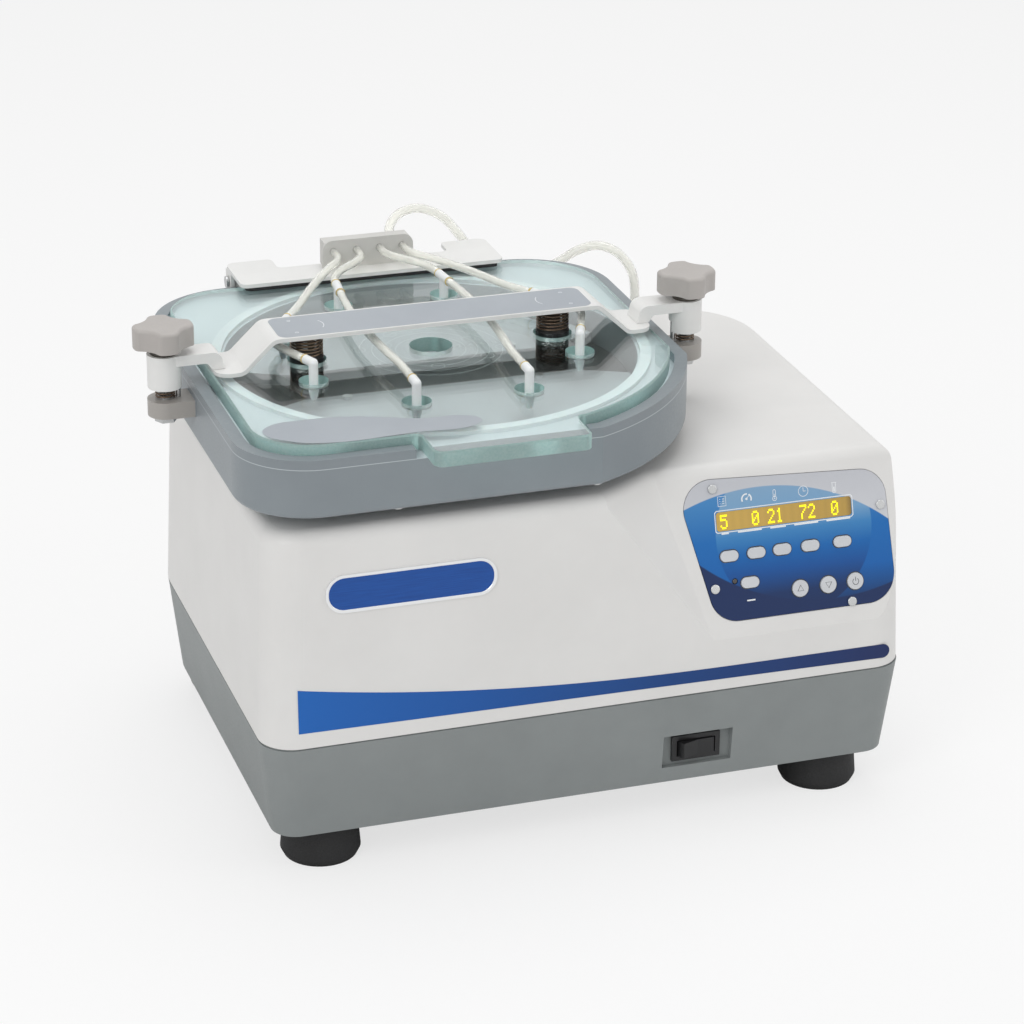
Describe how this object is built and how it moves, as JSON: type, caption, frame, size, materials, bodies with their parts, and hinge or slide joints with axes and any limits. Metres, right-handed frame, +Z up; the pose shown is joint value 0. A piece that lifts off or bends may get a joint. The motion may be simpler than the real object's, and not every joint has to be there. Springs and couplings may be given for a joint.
{
  "type": "nitrogen sample evaporator",
  "caption": "Benchtop nitrogen evaporator: orbiting heated sample chamber under a hinged glass lid with gas nozzles, hold-down bar and swing clamps on a keypad housing.",
  "frame": {"origin": "on the bench under the middle of the whole object's bounding box", "axes": "+X to the operator's right, +Y to the back, +Z up; the control panel and the glass lid's tab face -Y"},
  "size_m": [0.4567, 0.3676, 0.314],
  "materials": {
    "pan_grey": "satin",
    "housing_white": "fine texture",
    "foot_rubber": "matte",
    "overlay_print": "satin",
    "window_smoke": "gloss",
    "key_grey": "satin",
    "lamp_amber": "gloss",
    "black_plastic": "satin",
    "brass": "machined",
    "steel": "brushed",
    "spring_bronze": "dark",
    "motor_steel": "satin",
    "frame_steel": "brushed",
    "board_green": "satin",
    "supply_case": "satin",
    "mount_rubber": "matte",
    "tub_blue_grey": "satin",
    "hub_aluminium": "machined",
    "block_black": "anodised",
    "plate_grey": "satin",
    "gasket_white": "matte",
    "lid_glass": "polished",
    "arm_white": "satin",
    "manifold_grey": "satin",
    "knob_grey": "satin",
    "fitting_white": "satin",
    "seat_white": "satin",
    "tube_clear": "clear"
  },
  "bodies": {
    "base": {"base_pan": "pan_grey", "upper_housing": "housing_white", "rubber_feet": "foot_rubber", "control_overlay": "overlay_print", "panel_screws": "steel", "display_window": "window_smoke", "preheat_lamp": "lamp_amber", "switch_bezel": "black_plastic", "power_inlet": "black_plastic", "gas_inlet_fitting": "brass", "drive_motor": "motor_steel", "drive_frame": "frame_steel", "control_board": "board_green", "power_supply": "supply_case", "vortex_mounts": "mount_rubber"},
    "rocker": {"power_rocker": "black_plastic"},
    "eccentric": {"motor_shaft": "steel", "eccentric_hub": "frame_steel"},
    "chamber": {"chamber_tub": "tub_blue_grey", "chamber_hub": "hub_aluminium", "hub_bearing": "steel", "block_base": "block_black", "front_heater_plate": "plate_grey", "rear_heater_plate": "plate_grey", "plate_screws": "steel", "lid_gasket": "gasket_white", "hinge_bracket": "arm_white", "hinge_pins": "steel", "clamp_bolts": "steel", "stop_pins": "steel", "deck_hose": "tube_clear", "left_clamp_spring": "steel", "right_clamp_spring": "steel"},
    "lid": {"glass_lid": "lid_glass", "hinge_plate": "arm_white", "hinge_rubber": "foot_rubber", "gas_manifold": "manifold_grey", "hold_down_bar": "arm_white", "hold_down_springs": "spring_bronze", "spring_plungers": "black_plastic", "nozzle_seats": "seat_white", "elbow_fittings": "fitting_white", "tee_fittings": "fitting_white", "gas_tubes": "tube_clear", "lid_hose": "tube_clear"},
    "program_key": {"program_key": "key_grey"},
    "speed_key": {"speed_key": "key_grey"},
    "heat_key": {"heat_key": "key_grey"},
    "time_key": {"time_key": "key_grey"},
    "sample_key": {"sample_key": "key_grey"},
    "preheat_key": {"preheat_key": "key_grey"},
    "increase_key": {"increase_key": "key_grey"},
    "decrease_key": {"decrease_key": "key_grey"},
    "run_stop_key": {"run_stop_key": "key_grey"},
    "left_collar": {"left_clamp_collar": "steel"},
    "left_knob": {"left_clamp_knob": "knob_grey"},
    "left_arm": {"left_clamp_arm": "arm_white"},
    "right_collar": {"right_clamp_collar": "steel"},
    "right_knob": {"right_clamp_knob": "knob_grey"},
    "right_arm": {"right_clamp_arm": "arm_white"}
  },
  "joints": [
    {"name": "vortex_drive", "type": "hinge", "parent": "base", "child": "eccentric", "pos_m": [-0.0415, -0.0135, 0.17], "axis": [0, 0, 1], "continuous": true},
    {"name": "chamber_orbit", "type": "hinge", "parent": "eccentric", "child": "chamber", "pos_m": [-0.039, -0.0135, 0.21], "axis": [0, 0, 1], "continuous": true, "deforming": ["deck_hose"]},
    {"name": "lid_hinge", "type": "hinge", "parent": "chamber", "child": "lid", "pos_m": [-0.039, 0.151, 0.277], "axis": [-1, 0, 0], "range_deg": [0, 100], "deforming": ["lid_hose"]},
    {"name": "rocker_tilt", "type": "hinge", "parent": "base", "child": "rocker", "pos_m": [0.091, -0.15094, 0.05], "axis": [0, 0, -1], "range_deg": [0, 20]},
    {"name": "left_clamp_lift", "type": "slide", "parent": "chamber", "child": "left_collar", "axis": [0, 0, 1], "range_m": [0, 0.0045], "deforming": ["left_clamp_spring"]},
    {"name": "left_knob_turn", "type": "hinge", "parent": "left_collar", "child": "left_knob", "pos_m": [-0.2085, -0.0135, 0.305], "axis": [0, 0, 1], "range_deg": [0, 1080.5]},
    {"name": "left_arm_swing", "type": "hinge", "parent": "left_collar", "child": "left_arm", "pos_m": [-0.2085, -0.0135, 0.285], "axis": [0, 0, -1], "range_deg": [0, 100]},
    {"name": "right_clamp_lift", "type": "slide", "parent": "chamber", "child": "right_collar", "axis": [0, 0, 1], "range_m": [0, 0.0045], "deforming": ["right_clamp_spring"]},
    {"name": "right_knob_turn", "type": "hinge", "parent": "right_collar", "child": "right_knob", "pos_m": [0.1305, -0.0135, 0.305], "axis": [0, 0, 1], "range_deg": [0, 1080.5]},
    {"name": "right_arm_swing", "type": "hinge", "parent": "right_collar", "child": "right_arm", "pos_m": [0.1305, -0.0135, 0.285], "axis": [0, 0, 1], "range_deg": [0, 100]},
    {"name": "program_press", "type": "slide", "parent": "base", "child": "program_key", "axis": [0, 0.9578, -0.2874], "range_m": [0, 0.0008], "stiffness_N_per_m": 400, "springref_m": -0.001},
    {"name": "speed_press", "type": "slide", "parent": "base", "child": "speed_key", "axis": [0, 0.9578, -0.2874], "range_m": [0, 0.0008], "stiffness_N_per_m": 400, "springref_m": -0.001},
    {"name": "heat_press", "type": "slide", "parent": "base", "child": "heat_key", "axis": [0, 0.9578, -0.2874], "range_m": [0, 0.0008], "stiffness_N_per_m": 400, "springref_m": -0.001},
    {"name": "time_press", "type": "slide", "parent": "base", "child": "time_key", "axis": [0, 0.9578, -0.2874], "range_m": [0, 0.0008], "stiffness_N_per_m": 400, "springref_m": -0.001},
    {"name": "sample_press", "type": "slide", "parent": "base", "child": "sample_key", "axis": [0, 0.9578, -0.2874], "range_m": [0, 0.0008], "stiffness_N_per_m": 400, "springref_m": -0.001},
    {"name": "preheat_press", "type": "slide", "parent": "base", "child": "preheat_key", "axis": [0, 0.9578, -0.2874], "range_m": [0, 0.0008], "stiffness_N_per_m": 400, "springref_m": -0.001},
    {"name": "increase_press", "type": "slide", "parent": "base", "child": "increase_key", "axis": [0, 0.9578, -0.2874], "range_m": [0, 0.0008], "stiffness_N_per_m": 400, "springref_m": -0.001},
    {"name": "decrease_press", "type": "slide", "parent": "base", "child": "decrease_key", "axis": [0, 0.9578, -0.2874], "range_m": [0, 0.0008], "stiffness_N_per_m": 400, "springref_m": -0.001},
    {"name": "run_stop_press", "type": "slide", "parent": "base", "child": "run_stop_key", "axis": [0, 0.9578, -0.2874], "range_m": [0, 0.0008], "stiffness_N_per_m": 400, "springref_m": -0.001}
  ],
  "couplings": [
    {"joint": "chamber_orbit", "follows": "vortex_drive", "ratio": -1},
    {"joint": "left_knob_turn", "follows": "left_clamp_lift", "rad_per_m": 4188.8},
    {"joint": "right_knob_turn", "follows": "right_clamp_lift", "rad_per_m": 4188.8}
  ]
}
